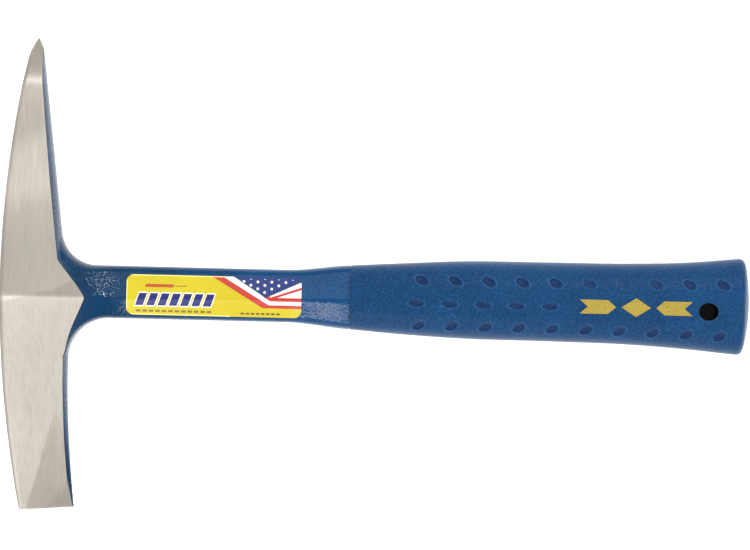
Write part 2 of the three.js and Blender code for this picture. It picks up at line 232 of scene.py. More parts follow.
def cheek_line(y):
    """The same half thickness with a sharp shoulder: point, pick, chisel and the chisel's edge bevel."""
    taper = lerp(PICK_SHOULDER_HALF, PICK_POINT_HALF, ramp(y, PICK_SHOULDER_Y, PICK_REACH) ** 1.25)
    body = lerp(HEAD_HALF, PICK_SHOULDER_HALF, ramp(y, THICKEST_Y, PICK_SHOULDER_Y))
    bevel_y = -CHISEL_REACH + CHISEL_BEVEL
    chisel = lerp(HEAD_HALF, CHISEL_BEVEL_HALF, ramp(y, THICKEST_Y, bevel_y) ** 0.92)
    edge = lerp(CHISEL_BEVEL_HALF, CHISEL_EDGE_HALF, ramp(y, bevel_y, -CHISEL_REACH))
    return np.select([y > PICK_SHOULDER_Y, y > THICKEST_Y, y > bevel_y], [taper, body, chisel], edge)


def lean(y, x):
    """How far the slant of the chisel's edge moves a point along y."""
    return CHISEL_TILT * (np.minimum(x, LEAN_END_X) - CHISEL_MID_X) * smooth(-y, LEAN_START, CHISEL_REACH)


def head_stations(step):
    """The heights at which the head is sectioned, closer together at the point."""
    point_y = PICK_REACH - 3.0
    edge = [-CHISEL_REACH, -CHISEL_REACH + CHISEL_BEVEL]
    body = np.arange(-CHISEL_REACH + CHISEL_BEVEL + step, point_y, step)
    return np.concatenate([edge, body, np.linspace(point_y, PICK_REACH, 9)])


def draft_at(y, half):
    """How far the forged inner face falls back at the ground cheek."""
    full = lerp(CHISEL_DRAFT, PICK_DRAFT, float(smooth(y, -12.0, 12.0)))
    fade = (half / PICK_FADE_HALF) ** PICK_FADE_POWER if y > 0 else half / CHISEL_FADE_HALF
    return full * min(1.0, fade)


def head_blank():
    """The head before grinding: its inner faces are finished, the other sides and the ends carry stock."""
    stock, end_stock = 2.0, 2.5
    thick_share, thick_stock = 1.18, 1.6  # at the cheeks, whichever of the two leaves more
    steps = np.linspace(1.0, -1.0, 31)
    rings = []
    for y in np.concatenate([[-CHISEL_REACH - end_stock], head_stations(1.2), [PICK_REACH + end_stock]]):
        half = float(cheek_half(y))
        tall = max(thick_share * half, half + thick_stock)
        draft = draft_at(y, half)
        edge = float(cheek_z(inner_x(y) - draft, y))
        ring = [(float(inner_x(y)) - draft * min((tall * t / edge) ** 2, 1.6), tall * t) for t in steps]
        back = float(outer_x(y)) - stock
        ring += [(back, z) for z in np.linspace(-tall, tall, 9)]
        rings.append([(x, float(y + lean(y, x)), z) for x, z in ring])
    return loft("head_blank", rings)


# a second pass of the belt leaves a flatter facet on the chisel's handle side, past a slanting line
FACET_X, FACET_Y, FACET_SLOPE = 19.6, -52.0, 0.06
FACET_COS, FACET_SIN = 0.966, 0.259


def waviness(x, y):
    """The slow unevenness that belt grinding by hand leaves in a cheek, in millimetres."""
    return (0.05 * np.sin(y / 9.5 + 0.6) + 0.05 * np.sin(y / 17.0 + x / 14.0)
            + 0.03 * np.sin(x / 5.5 - y / 31.0))


def cheek_z(x, y):
    """Half thickness of the ground cheek over a point of the head."""
    base = cheek_half(y)
    # the crown and the waves fade out towards the point and the chisel's edge
    blunt = lerp(1.0, 0.0, smooth(y, 74.0, 90.0)) * smooth(y, -CHISEL_REACH, -CHISEL_REACH + 9.0)
    crown = 0.012 * np.maximum(0.0, 9.0 - x) ** 1.6 * blunt
    past = (x - FACET_X) * FACET_COS - (y - FACET_Y) * FACET_SIN
    facet = FACET_SLOPE * np.maximum(0.0, past) * smooth(-y, 38.0, 58.0)
    facet = np.minimum(facet, np.maximum(0.0, 0.5 * (base - CHISEL_EDGE_HALF)))
    return np.maximum(base - crown - facet + waviness(x, y) * blunt, 0.2)


def ground_envelope():
    """What grinding leaves: outer face, cheeks, broken corners, the point and the chisel's edge."""
    edge_break = 0.55
    tip_y = 86.0  # from here to the point the envelope closes on both sides
    tip_x = float(outer_x(PICK_REACH)) + 1.9
    cheek_end_x, far_x = 36.0, LENGTH + 12.0
    across = np.linspace(0.0, 1.0, 25)
    rings = []
    for y in head_stations(1.0):
        half = float(cheek_half(y))
        is_tip = y > tip_y
        close = float(ramp(y, tip_y + 0.5, PICK_REACH)) ** 2.5
        low = lerp(float(outer_x(y)), tip_x - 0.2, close)
        high = lerp(float(inner_x(y)) + 0.4, tip_x + 0.2, close) if is_tip else cheek_end_x
        corner = min(edge_break, half * 0.3, (high - low) * 0.3)
        xs = lerp(low + corner, high, across)
        zs = cheek_z(xs, np.full_like(xs, y))
        z0 = float(zs[0])
        end_x, end_z = (high, 0.3 * z0) if is_tip else (far_x, float(zs[-1]))
        top = list(zip(xs, zs))
        right = [(end_x, end_z), (end_x, 0.0), (end_x, -end_z)]
        bottom = [(x, -z) for x, z in reversed(top)]
        left = [(low + corner * 0.3, -z0 + corner * 0.3), (low, -z0 + corner), (low, 0.0),
                (low, z0 - corner), (low + corner * 0.3, z0 - corner * 0.3)]
        ring = top + right + bottom + left
        rings.append([(x, float(y + lean(y, x)), z) for x, z in ring])
    return loft("ground_envelope", rings)


# ---------------------------------------------------------------------------
# neck and tang
# ---------------------------------------------------------------------------
NECK_TOP, NECK_BOTTOM, NECK_END_X = 9.9, 9.55, 130.66
RIDGE_HALF, EDGE_HALF = 6.5, 4.2
RIDGE_SWEEP_R, RIDGE_SWEEP_X = 26.6, 46.7
PICK_FILLET, PICK_FILLET_R = (36.05, 23.4), 13.5
CHISEL_FILLET, CHISEL_FILLET_R = (41.2, -24.75), 15.2
FILLET_REACH = 0.995
TOP_ROUND, TOP_FILLET_ROUND = 2.4, 3.5
BOTTOM_ROUND, BOTTOM_FILLET_ROUND = 2.5, 1.2
RIDGE_Y_AT_HEAD, RIDGE_Y_AT_GRIP = -2.1, -1.25
FLARE_X = (107.0, 133.0)  # the neck widens between here, to meet the grip
FLARE_TOP, FLARE_BOTTOM, FLARE_RIDGE, FLARE_EDGE = 2.3, 2.15, 1.6, 1.8
EDGE_RISE = 4  # how much thicker the sides become at the head
HANG_X, HANG_Y, HANG_RX, HANG_RY = 264.0, -1.9, 3.5, 3.1
TANG_END_X, TANG_HALF_WIDTH, TANG_HALF_THICK = 271.4, 6.8, 3.4
TANG_BEVEL = 1.2
TANG_SHIFT_X = (170.0, 250.0)  # the tang moves over to the hang hole's line between here
TANG_START_X = NECK_END_X - 4.0  # the bar overlaps the end of the neck
MOULD_GAP = 0.3


def neck_flare(x):
    return smooth(x, *FLARE_X)


def top_y(x, inset):
    """The neck's side towards the pick. Inset is how far a level has fallen back from the parting line."""
    plain = NECK_TOP + FLARE_TOP * neck_flare(x) - inset
    radius = PICK_FILLET_R + inset
    reach = min(PICK_FILLET[0] - x, radius * FILLET_REACH)
    return PICK_FILLET[1] - math.sqrt(radius**2 - reach**2) if reach > 0 else float(plain)


def bottom_y(x, inset):
    """The neck's side towards the chisel."""
    plain = -NECK_BOTTOM - FLARE_BOTTOM * neck_flare(x) + inset
    radius = CHISEL_FILLET_R + inset
    reach = min(CHISEL_FILLET[0] - x, radius * FILLET_REACH)
    return CHISEL_FILLET[1] + math.sqrt(radius**2 - reach**2) if reach > 0 else float(plain)


def top_round(x):
    """How far in from the parting line the side's rounding reaches, towards the pick."""
    return lerp(TOP_FILLET_ROUND, TOP_ROUND, float(smooth(x, 28.0, 46.0)))


def bottom_round(x):
    """The same towards the chisel."""
    return lerp(BOTTOM_FILLET_ROUND, BOTTOM_ROUND, float(smooth(x, 30.0, 100.0)))


def ridge_y(x):
    return float(lerp(RIDGE_Y_AT_HEAD, RIDGE_Y_AT_GRIP, ramp(x, 31.0, 120.0)))


def ridge_half(x):
    """Half thickness at the neck's ridge, which sweeps up to the cheeks on an arc."""
    run = min(max(RIDGE_SWEEP_X - x, 0.0), RIDGE_SWEEP_R * 0.9)
    sweep = RIDGE_SWEEP_R - math.sqrt(RIDGE_SWEEP_R**2 - run**2)
    return RIDGE_HALF + sweep + FLARE_RIDGE * float(neck_flare(x))


def edge_half(x):
    """Half thickness where the side's rounding meets the neck's roof."""
    rise = EDGE_RISE * (1 - float(smooth(x, 24.0, RIDGE_SWEEP_X)))
    return EDGE_HALF + rise + FLARE_EDGE * float(neck_flare(x))


def roof_z(x, y, lift):
    """Height of the neck's roof, raised by lift."""
    ridge = ridge_y(x)
    side = top_y(x, top_round(x)) if y > ridge else bottom_y(x, bottom_round(x))
    return lerp(ridge_half(x), edge_half(x), (y - ridge) / (side - ridge)) + lift


def neck_blank():
    angles = np.linspace(0, math.pi / 2, 9)
    rounding = [(1 - math.cos(a), math.sin(a)) for a in angles]
    shares = np.linspace(0, 1, 13)
    fillets = np.arange(20.0, 46.0, 0.5)
    straight = np.linspace(46.0, NECK_END_X + 2.0, 90)
    rings = []
    for x in np.concatenate([[17.0], fillets, straight]):
        edge = edge_half(x)
        top = [(top_y(x, top_round(x) * i), edge * u) for i, u in rounding]
        low = [(bottom_y(x, bottom_round(x) * i), edge * u) for i, u in rounding]
        ridge = (ridge_y(x), ridge_half(x))
        roof_top = [(lerp(top[-1][0], ridge[0], s), lerp(top[-1][1], ridge[1], s)) for s in shares[1:]]
        roof_low = [(lerp(ridge[0], low[-1][0], s), lerp(ridge[1], low[-1][1], s)) for s in shares[1:-1]]
        upper = top + roof_top + roof_low + low[::-1]
        lower = [(y, -z) for y, z in upper[-2:0:-1]]
        rings.append([(x, y, z) for y, z in upper + lower])
    return loft("neck_blank", rings)


def tang(name, grow, start_x):
    """A flat bar with a rounded end, made thicker by grow."""
    w, h = TANG_HALF_WIDTH + grow, TANG_HALF_THICK + grow
    round_from = TANG_END_X - TANG_HALF_WIDTH
    stations = list(np.linspace(start_x, round_from, 12))
    stations += [round_from + w * t for t in (0.35, 0.65, 0.87, 1.0)]
    rings = []
    for x in stations:
        t = max(0.0, (x - round_from) / w)
        half = w * max(math.sqrt(max(0.0, 1 - t * t)), 0.28)
        cy = HANG_Y * float(smooth(x, *TANG_SHIFT_X))
        flat, side = half - TANG_BEVEL / 2, h - TANG_BEVEL
        section = [(flat, h), (half, side), (half, -side), (flat, -h),
                   (-flat, -h), (-half, -side), (-half, side), (-flat, h)]
        rings.append([(x, cy + y, z) for y, z in section])
    return loft(name, rings)


def hang_core(name, flare):
    """The hang hole's cutter: an oval core whose ends open out by flare at the grip's faces."""
    face, rim, far = 11.0, 0.6, 30.0
    zs = [-far, -face, -face + 0.25 * rim, -face + rim, 0.0, face - rim, face - 0.25 * rim, face, far]
    opens = [flare * 1.6, flare, flare * 0.34, 0.0, 0.0, 0.0, flare * 0.34, flare, flare * 1.6]
    angles = np.linspace(0, 2 * math.pi, 97)[:-1]
    rings = []
    for z, extra in zip(zs, opens):
        rx, ry = HANG_RX + extra, HANG_RY + extra
        rings.append([(HANG_X + rx * math.cos(a), HANG_Y + ry * math.sin(a), z) for a in angles])
    return loft(name, rings)


# ---------------------------------------------------------------------------
# grip
# ---------------------------------------------------------------------------
GRIP_START_X = 130.7
GRIP_X = (GRIP_START_X, 150.0, 172.0, 205.0, 235.0, 256.0, 275.0)
GRIP_TOP = (12.2, 13.45, 14.75, 15.1, 15.4, 16.3, 18.15)
GRIP_LOW = (11.7, 13.1, 14.1, 14.4, 14.9, 16.1, 17.75)
GRIP_HALF = (8.7, 10.2, 10.95, 11.0, 11.0, 11.0, 11.0)
GRIP_POWER, GRIP_FLAT = 2.5, 1.045
BUTT_X = (275.0, 276.2, 277.1, 277.8, 278.5, 279.1, 279.4)
BUTT_SHARE = (1.0, 0.985, 0.94, 0.84, 0.62, 0.33, 0.05)
BUTT_LEAN = 0.012
DIMPLE_PITCH = 12.45
WORN_INDEX, WORN_SPREAD = 6, 1.3
# count, first x, y, spread, lean, half length, half width, depth, share worn away at the worn index
DIMPLE_ROWS = (
    (10, 157.2, 7.2, 0.9, -0.45, 2.6, 1.6, 1.0, 0.65),
    (5, 155.2, -1.5, 0.0, 0.0, 2.9, 1.2, 0.75, 0.0),
    (10, 156.2, -9.5, -1.6, 0.45, 2.5, 1.5, 0.95, 0.0),
)


def dimples():
    """Each dimple's middle, turn, half length, half width, depth and the share of it that is left."""
    out = []
    for count, start, y, spread, turn, a, b, depth, worn in DIMPLE_ROWS:
        for i in range(count):
            left = 1.0 - worn * math.exp(-((i - WORN_INDEX) / WORN_SPREAD) ** 2)
            cx, cy = start + DIMPLE_PITCH * i, y + spread * (i / (count - 1)) ** 3
            out.append((cx, cy, turn, a, b, depth, left))
    return out


def dimple_field(x, y):
    """How deep the dimples sink at a point, and a mask for painting: painted shade in a dimple (1), painted
    highlight on its rim (below 0).
    """
    sink, dimple_shade_and_highlight = np.zeros_like(x), np.zeros_like(x)
    for cx, cy, turn, a, b, depth, left in dimples():
        dx, dy = x - cx, y - cy
        px = dx * math.cos(turn) + dy * math.sin(turn)
        py = -dx * math.sin(turn) + dy * math.cos(turn)
        r = np.sqrt((px / a) ** 2 + (py / b) ** 2)
        bowl = np.clip(1 - r**3, 0, 1) ** 0.8
        lip = np.exp(-((r - 1.14) / 0.11) ** 2)
        sink += left * (depth * bowl - 0.13 * lip)
        dimple_shade_and_highlight += left * (np.clip((1.04 - r) * 4.0, 0, 1) - 0.6 * lip)
    return sink, dimple_shade_and_highlight


def grip_body():
    around = 224
    angle = np.linspace(0, 2 * math.pi, around, endpoint=False)
    cosine, sine = np.cos(angle), np.sin(angle)
    c = np.sign(cosine) * np.abs(cosine) ** (2 / GRIP_POWER)
    s = np.sign(sine) * np.abs(sine) ** (2 / GRIP_POWER)
    rounding = ((0.0, 0.965), (0.06, 0.982), (0.2, 0.993), (0.45, 1.0))
    front = [(GRIP_START_X + run, share) for run, share in rounding]
    body = [(x, 1.0) for x in np.arange(GRIP_START_X + 0.9, BUTT_X[0] - 0.2, 0.42)]
    t = np.linspace(0, len(BUTT_X) - 1, 40)
    knots = np.arange(len(BUTT_X))
    butt = list(zip(through(knots, BUTT_X, t), through(knots, BUTT_SHARE, t)))
    rings = []
    for x, share in front + body + butt:
        top, low = float(through(GRIP_X, GRIP_TOP, x)), float(through(GRIP_X, GRIP_LOW, x))
        half = min(GRIP_HALF[-1], float(through(GRIP_X, GRIP_HALF, x)))
        y = np.where(c > 0, c * top, c * low)
        raw = s * half * GRIP_FLAT
        # the crown is cut off into a flat, with a soft shoulder
        z = np.sign(raw) * np.minimum(np.abs(raw), half - 0.03 * smooth(half - np.abs(raw), -0.2, 0.4))
        y, z = y * share, z * share
        sink, _ = dimple_field(np.full_like(y, x), y)
        z = z - np.sign(z) * sink * smooth(np.abs(z), 2.0, 5.0)
        lean_x = x + BUTT_LEAN * y * float(smooth(x, 268.0, 277.0))
        rings.append(np.stack([np.minimum(lean_x, LENGTH), y, z], 1))
    return loft("grip_vinyl", rings)


def mark_dimples(obj):
    """Stores on each point of the grip how far inside a dimple it is, for the painted shade in the dimples
    and the painted highlight on their rims.
    """
    mesh = obj.data
    points = np.zeros(len(mesh.vertices) * 3)
    mesh.vertices.foreach_get("co", points)
    local = (points.reshape(-1, 3) - np.array(ORIGIN)) / MM
    _, dimple_shade_and_highlight = dimple_field(local[:, 0], local[:, 1])
    lowest, last_x = 5.0, 274.0  # no dimples on the sides or on the butt
    dimple_shade_and_highlight = dimple_shade_and_highlight * (np.abs(local[:, 2]) > lowest) * (local[:, 0] < last_x)
    layer = mesh.attributes.new("dimple", "FLOAT", "POINT")
    layer.data.foreach_set("value", dimple_shade_and_highlight.astype(np.float32))


# ---------------------------------------------------------------------------
# label
# ---------------------------------------------------------------------------
LABEL_X, LABEL_Y, LABEL_CORNER = (47.4, 112.5), (-8.0, 6.9), 2.6


def label_film():
    """A folded film with round corners that follows the roof of the neck."""
    x0, x1 = LABEL_X
    lift, thick = SHELL + 0.03, 0.1
    rings = []
    angles = np.linspace(0, math.pi / 2, 14)
    arc = [(LABEL_CORNER * (1 - math.cos(a)), LABEL_CORNER * (1 - math.sin(a))) for a in angles]
    stations = [(x0 + dx, dy) for dx, dy in arc]
    stations += [(x, 0.0) for x in np.linspace(x0 + LABEL_CORNER + 0.5, x1 - LABEL_CORNER - 0.5, 150)]
    stations += [(x1 - dx, dy) for dx, dy in reversed(arc)]
    for x, inset in stations:
        ridge = ridge_y(x)
        ys = np.concatenate([np.linspace(LABEL_Y[1] - inset, ridge + 0.6, 14),
                             np.linspace(ridge + 0.4, ridge - 0.4, 7),
                             np.linspace(ridge - 0.6, LABEL_Y[0] + inset, 14)])
        soft = 0.14 * np.exp(-((ys - ridge) / 0.55) ** 2)
        over = [(x, y, roof_z(x, y, lift + thick) - d) for y, d in zip(ys, soft)]
        under = [(x, y, roof_z(x, y, lift) - d) for y, d in zip(ys, soft)]
        rings.append(over + under[::-1])
    return loft("label_film", rings)


# ---------------------------------------------------------------------------
# materials
# ---------------------------------------------------------------------------
def srgb(r, g, b):
    """A colour from its 0 to 255 values, as linear light."""
    def one(v):
        v /= 255
        return v / 12.92 if v <= 0.04045 else ((v + 0.055) / 1.055) ** 2.4
    return (one(r), one(g), one(b), 1.0)


def set_stops(color_ramp, stops):
    """Grey stops on a colour ramp, from (position, value) pairs in rising order."""
    while len(color_ramp.elements) < len(stops):
        color_ramp.elements.new(1.0)
    for element, (position, value) in zip(color_ramp.elements, stops):
        element.position = position
        element.color = (value, value, value, 1.0)


class Nodes:
    """Short names for the nodes that the materials below are made of."""

    def __init__(self, name):
        self.material = bpy.data.materials.new(name)
        self.material.use_nodes = True
        self.tree = self.material.node_tree
        self.tree.nodes.clear()
        self.out = self.tree.nodes.new("ShaderNodeOutputMaterial")
        self.shader = self.tree.nodes.new("ShaderNodeBsdfPrincipled")
        self.tree.links.new(self.shader.outputs[0], self.out.inputs["Surface"])
        self.coords = self.tree.nodes.new("ShaderNodeTexCoord")

    def put(self, socket, value):
        """Feeds a socket from another socket, or gives it a constant."""
        if isinstance(value, bpy.types.NodeSocket):
            self.tree.links.new(value, socket)
        else:
            socket.default_value = value

    def math(self, operation, *values):
        n = self.tree.nodes.new("ShaderNodeMath")
        n.operation = operation
        for socket, value in zip(n.inputs, values):
            self.put(socket, value)
        return n.outputs[0]

    def scaled(self, x, y, z):
        """Object coordinates in millimetres, times a factor on each axis."""
        n = self.tree.nodes.new("ShaderNodeMapping")
        n.vector_type = "POINT"
        self.tree.links.new(self.coords.outputs["Object"], n.inputs["Vector"])
        n.inputs["Scale"].default_value = (x / MM, y / MM, z / MM)
        return n.outputs[0]

    def noise(self, vector, detail, rough):
        n = self.tree.nodes.new("ShaderNodeTexNoise")
        self.tree.links.new(vector, n.inputs["Vector"])
        n.inputs["Scale"].default_value = 1.0
        n.inputs["Detail"].default_value = detail
        n.inputs["Roughness"].default_value = rough
        return n.outputs[0]

    def cells(self, vector):
        n = self.tree.nodes.new("ShaderNodeTexVoronoi")
        self.tree.links.new(vector, n.inputs["Vector"])
        n.inputs["Scale"].default_value = 1.0
        return n.outputs["Distance"]

    def fit(self, value, low, high, to_low, to_high):
        n = self.tree.nodes.new("ShaderNodeMapRange")
        n.clamp = True
        names = ("Value", "From Min", "From Max", "To Min", "To Max")
        for name, v in zip(names, (value, low, high, to_low, to_high)):
            self.put(n.inputs[name], v)
        return n.outputs[0]

    def mix(self, share, a, b):
        n = self.tree.nodes.new("ShaderNodeMix")
        n.data_type = "RGBA"
        self.put(n.inputs[0], share)
        self.put(n.inputs[6], a)
        self.put(n.inputs[7], b)
        return n.outputs[2]

    def scale_colour(self, colour, factor):
        n = self.tree.nodes.new("ShaderNodeVectorMath")
        n.operation = "SCALE"
        self.put(n.inputs[0], colour)
        self.put(n.inputs["Scale"], factor)
        return n.outputs[0]

    def bump(self, height, distance_mm, strength, under=None):
        n = self.tree.nodes.new("ShaderNodeBump")
        n.inputs["Strength"].default_value = strength
        n.inputs["Distance"].default_value = distance_mm * MM
        self.put(n.inputs["Height"], height)
        if under is not None:
            self.tree.links.new(under, n.inputs["Normal"])
        return n.outputs[0]

    def set(self, **values):
        for name, value in values.items():
            self.put(self.shader.inputs[name.replace("_", " ")], value)
        return self.material

    def part_xy(self):
        """The forging's own x and y, in millimetres, as two sockets."""
        n = self.tree.nodes.new("ShaderNodeSeparateXYZ")
        self.tree.links.new(self.coords.outputs["Object"], n.inputs[0])
        x = self.math("MULTIPLY", self.math("SUBTRACT", n.outputs[0], ORIGIN.x), 1 / MM)
        y = self.math("MULTIPLY", self.math("SUBTRACT", n.outputs[1], ORIGIN.y), 1 / MM)
        return x, y


# painted reflections: how bright the ground steel is painted along the head, standing in for the light its
# cheeks reflect from chisel to point
STEEL_PAINTED_REFLECTION = (  # y, tone
    (-81.0, 0.56), (-60.0, 0.60), (-30.0, 0.64), (-6.0, 0.61), (-2.2, 0.59), (-1.0, 0.71),
    (6.0, 0.68), (18.0, 0.66), (30.0, 0.71), (38.0, 0.88), (52.0, 0.86), (60.0, 0.67),
    (66.0, 0.69), (75.0, 0.75), (79.0, 0.66), (94.0, 0.64),
)
TONE_TOP = 0.9
TONE_SLANT, TONE_MID_X = -0.33, 11.0  # the painted bands of reflected light run aslant, about this x


def ground_steel():
    n = Nodes("ground_steel")
    fine = n.noise(n.scaled(2.2, 0.012, 2.2), 2.0, 0.5)
    broad = n.noise(n.scaled(0.5, 0.016, 0.5), 2.0, 0.5)
    patch = n.noise(n.scaled(0.06, 0.035, 0.06), 2.0, 0.5)
    x, y = n.part_xy()
    drift = n.math("ADD", y, n.math("MULTIPLY", n.math("SUBTRACT", x, TONE_MID_X), TONE_SLANT))
    drift = n.math("ADD", drift, n.fit(patch, 0.3, 0.7, -1.2, 1.2))
    tones = n.tree.nodes.new("ShaderNodeValToRGB")
    span = CHISEL_REACH + PICK_REACH
    n.put(tones.inputs["Fac"], n.math("DIVIDE", n.math("ADD", drift, CHISEL_REACH), span))
    set_stops(tones.color_ramp, [((at + CHISEL_REACH) / span, tone / TONE_TOP) for at, tone in STEEL_PAINTED_REFLECTION])
    light, dark = srgb(218, 210, 199), srgb(201, 193, 182)
    base = n.mix(n.fit(fine, 0.3, 0.7, 0.0, 1.0), dark, light)
    base = n.mix(n.fit(patch, 0.35, 0.65, 0.0, 0.35), base, srgb(206, 205, 193))
    base = n.mix(n.fit(broad, 0.4, 0.6, 0.0, 0.25), base, srgb(226, 214, 203))
    # painted shade: the flatter facet on the chisel is painted darker, for the light it reflects less
    past = n.math("SUBTRACT", n.math("MULTIPLY", n.math("SUBTRACT", x, FACET_X), FACET_COS),
                  n.math("MULTIPLY", n.math("SUBTRACT", y, FACET_Y), FACET_SIN))
    facet = n.math("MULTIPLY", n.fit(past, -0.4, 0.5, 0.0, 1.0), n.fit(y, -52.0, -40.0, 1.0, 0.0))
    # the painted reflection bands scale the steel's colour
    tone = n.math("MULTIPLY", tones.outputs["Color"], TONE_TOP)
    base = n.scale_colour(base, n.math("MULTIPLY", tone, n.fit(facet, 0.0, 1.0, 1.0, 0.81)))
    height = n.bump(fine, 0.002, 0.4, n.bump(broad, 0.004, 0.3))
    return n.set(Base_Color=base, Metallic=1.0, Roughness=n.fit(fine, 0.3, 0.7, 0.32, 0.36), Normal=height)


def forge_scale():
    n = Nodes("forge_scale")
    grain = n.noise(n.scaled(0.8, 0.8, 0.8), 4.0, 0.6)
    base = n.mix(n.fit(grain, 0.3, 0.7, 0.0, 1.0), srgb(22, 22, 24), srgb(46, 42, 40))
    return n.set(Base_Color=base, Metallic=0.6, Roughness=0.6, Normal=n.bump(grain, 0.1, 0.5))


def blue_enamel():
    n = Nodes("blue_enamel")
    peel = n.noise(n.scaled(1.1, 1.1, 1.1), 1.5, 0.45)
    ripple = n.cells(n.scaled(0.45, 0.45, 0.45))
    slow = n.noise(n.scaled(0.06, 0.06, 0.06), 2.0, 0.5)
    speck = n.noise(n.scaled(5.0, 5.0, 5.0), 2.0, 0.6)
    x, _ = n.part_xy()
    deep = n.mix(n.fit(slow, 0.35, 0.65, 0.0, 1.0), srgb(0, 42, 74), srgb(1, 49, 83))
    pale = n.mix(n.fit(slow, 0.35, 0.65, 0.0, 1.0), srgb(0, 56, 100), srgb(2, 64, 110))
    # painted highlight: the enamel is painted paler towards the grip, for the light that end of the neck
    # reflects
    base = n.mix(n.fit(x, 45.0, 110.0, 0.0, 1.0), deep, pale)
    base = n.mix(n.fit(speck, 0.55, 0.75, 0.0, 0.4), base, srgb(22, 86, 130))
    near_head = n.fit(x, 34.0, 60.0, 1.0, 0.45)
    first = n.bump(ripple, 0.1, 0.4)
    normal = n.bump(n.math("MULTIPLY", peel, near_head), 0.3, 1.0, first)
    return n.set(Base_Color=base, Roughness=0.12, Specular_IOR_Level=0.15,
                 Coat_Weight=0.04, Coat_Roughness=0.05, Normal=normal)


def enamel_edge_shade():
    # painted shade: dark grey-brown along the enamel's cut edge where it meets the steel
    n = Nodes("enamel_edge_shade")
    grain = n.noise(n.scaled(1.6, 1.6, 1.6), 2.0, 0.5)
    base = n.mix(n.fit(grain, 0.3, 0.7, 0.0, 1.0), srgb(20, 19, 24), srgb(48, 42, 40))
    return n.set(Base_Color=base, Roughness=0.5, Specular_IOR_Level=0.2, Normal=n.bump(grain, 0.02, 0.3))


def blue_vinyl():
    n = Nodes("blue_vinyl")
    grain = n.noise(n.scaled(2.6, 2.6, 2.6), 3.0, 0.65)
    slow = n.noise(n.scaled(0.07, 0.07, 0.07), 2.0, 0.5)
    speck = n.noise(n.scaled(1.9, 1.9, 1.9), 2.0, 0.6)
    base = n.mix(n.fit(slow, 0.35, 0.65, 0.0, 1.0), srgb(0, 45, 85), srgb(1, 52, 93))
    base = n.mix(n.fit(speck, 0.46, 0.70, 0.0, 0.45), base, srgb(26, 100, 152))
    base = n.mix(n.fit(speck, 0.50, 0.34, 0.0, 0.4), base, srgb(10, 46, 92))
    dimple_shade_and_highlight = n.tree.nodes.new("ShaderNodeAttribute")
    dimple_shade_and_highlight.attribute_name = "dimple"
    # painted shade darkens the dimples, and a painted highlight lightens their rims
    base = n.mix(n.fit(dimple_shade_and_highlight.outputs["Fac"], 0.0, 1.0, 0.0, 0.6), base, srgb(12, 30, 74))
    base = n.mix(n.fit(dimple_shade_and_highlight.outputs["Fac"], 0.0, -0.6, 0.0, 0.2), base, srgb(84, 124, 172))
    return n.set(Base_Color=base, Roughness=n.fit(grain, 0.3, 0.7, 0.42, 0.56), Specular_IOR_Level=0.13,
                 Sheen_Weight=0.22, Sheen_Roughness=0.42, Normal=n.bump(grain, 0.05, 0.5))


def bore_painted_shade():
    # painted shade: near-black for the hang hole's wall and the tang's cavity
    n = Nodes("bore_painted_shade")
    grain = n.noise(n.scaled(1.5, 1.5, 1.5), 3.0, 0.6)
    base = n.mix(n.fit(grain, 0.3, 0.7, 0.0, 1.0), srgb(9, 10, 14), srgb(18, 20, 26))
    return n.set(Base_Color=base, Roughness=0.7, Specular_IOR_Level=0.2, Normal=n.bump(grain, 0.05, 0.4))


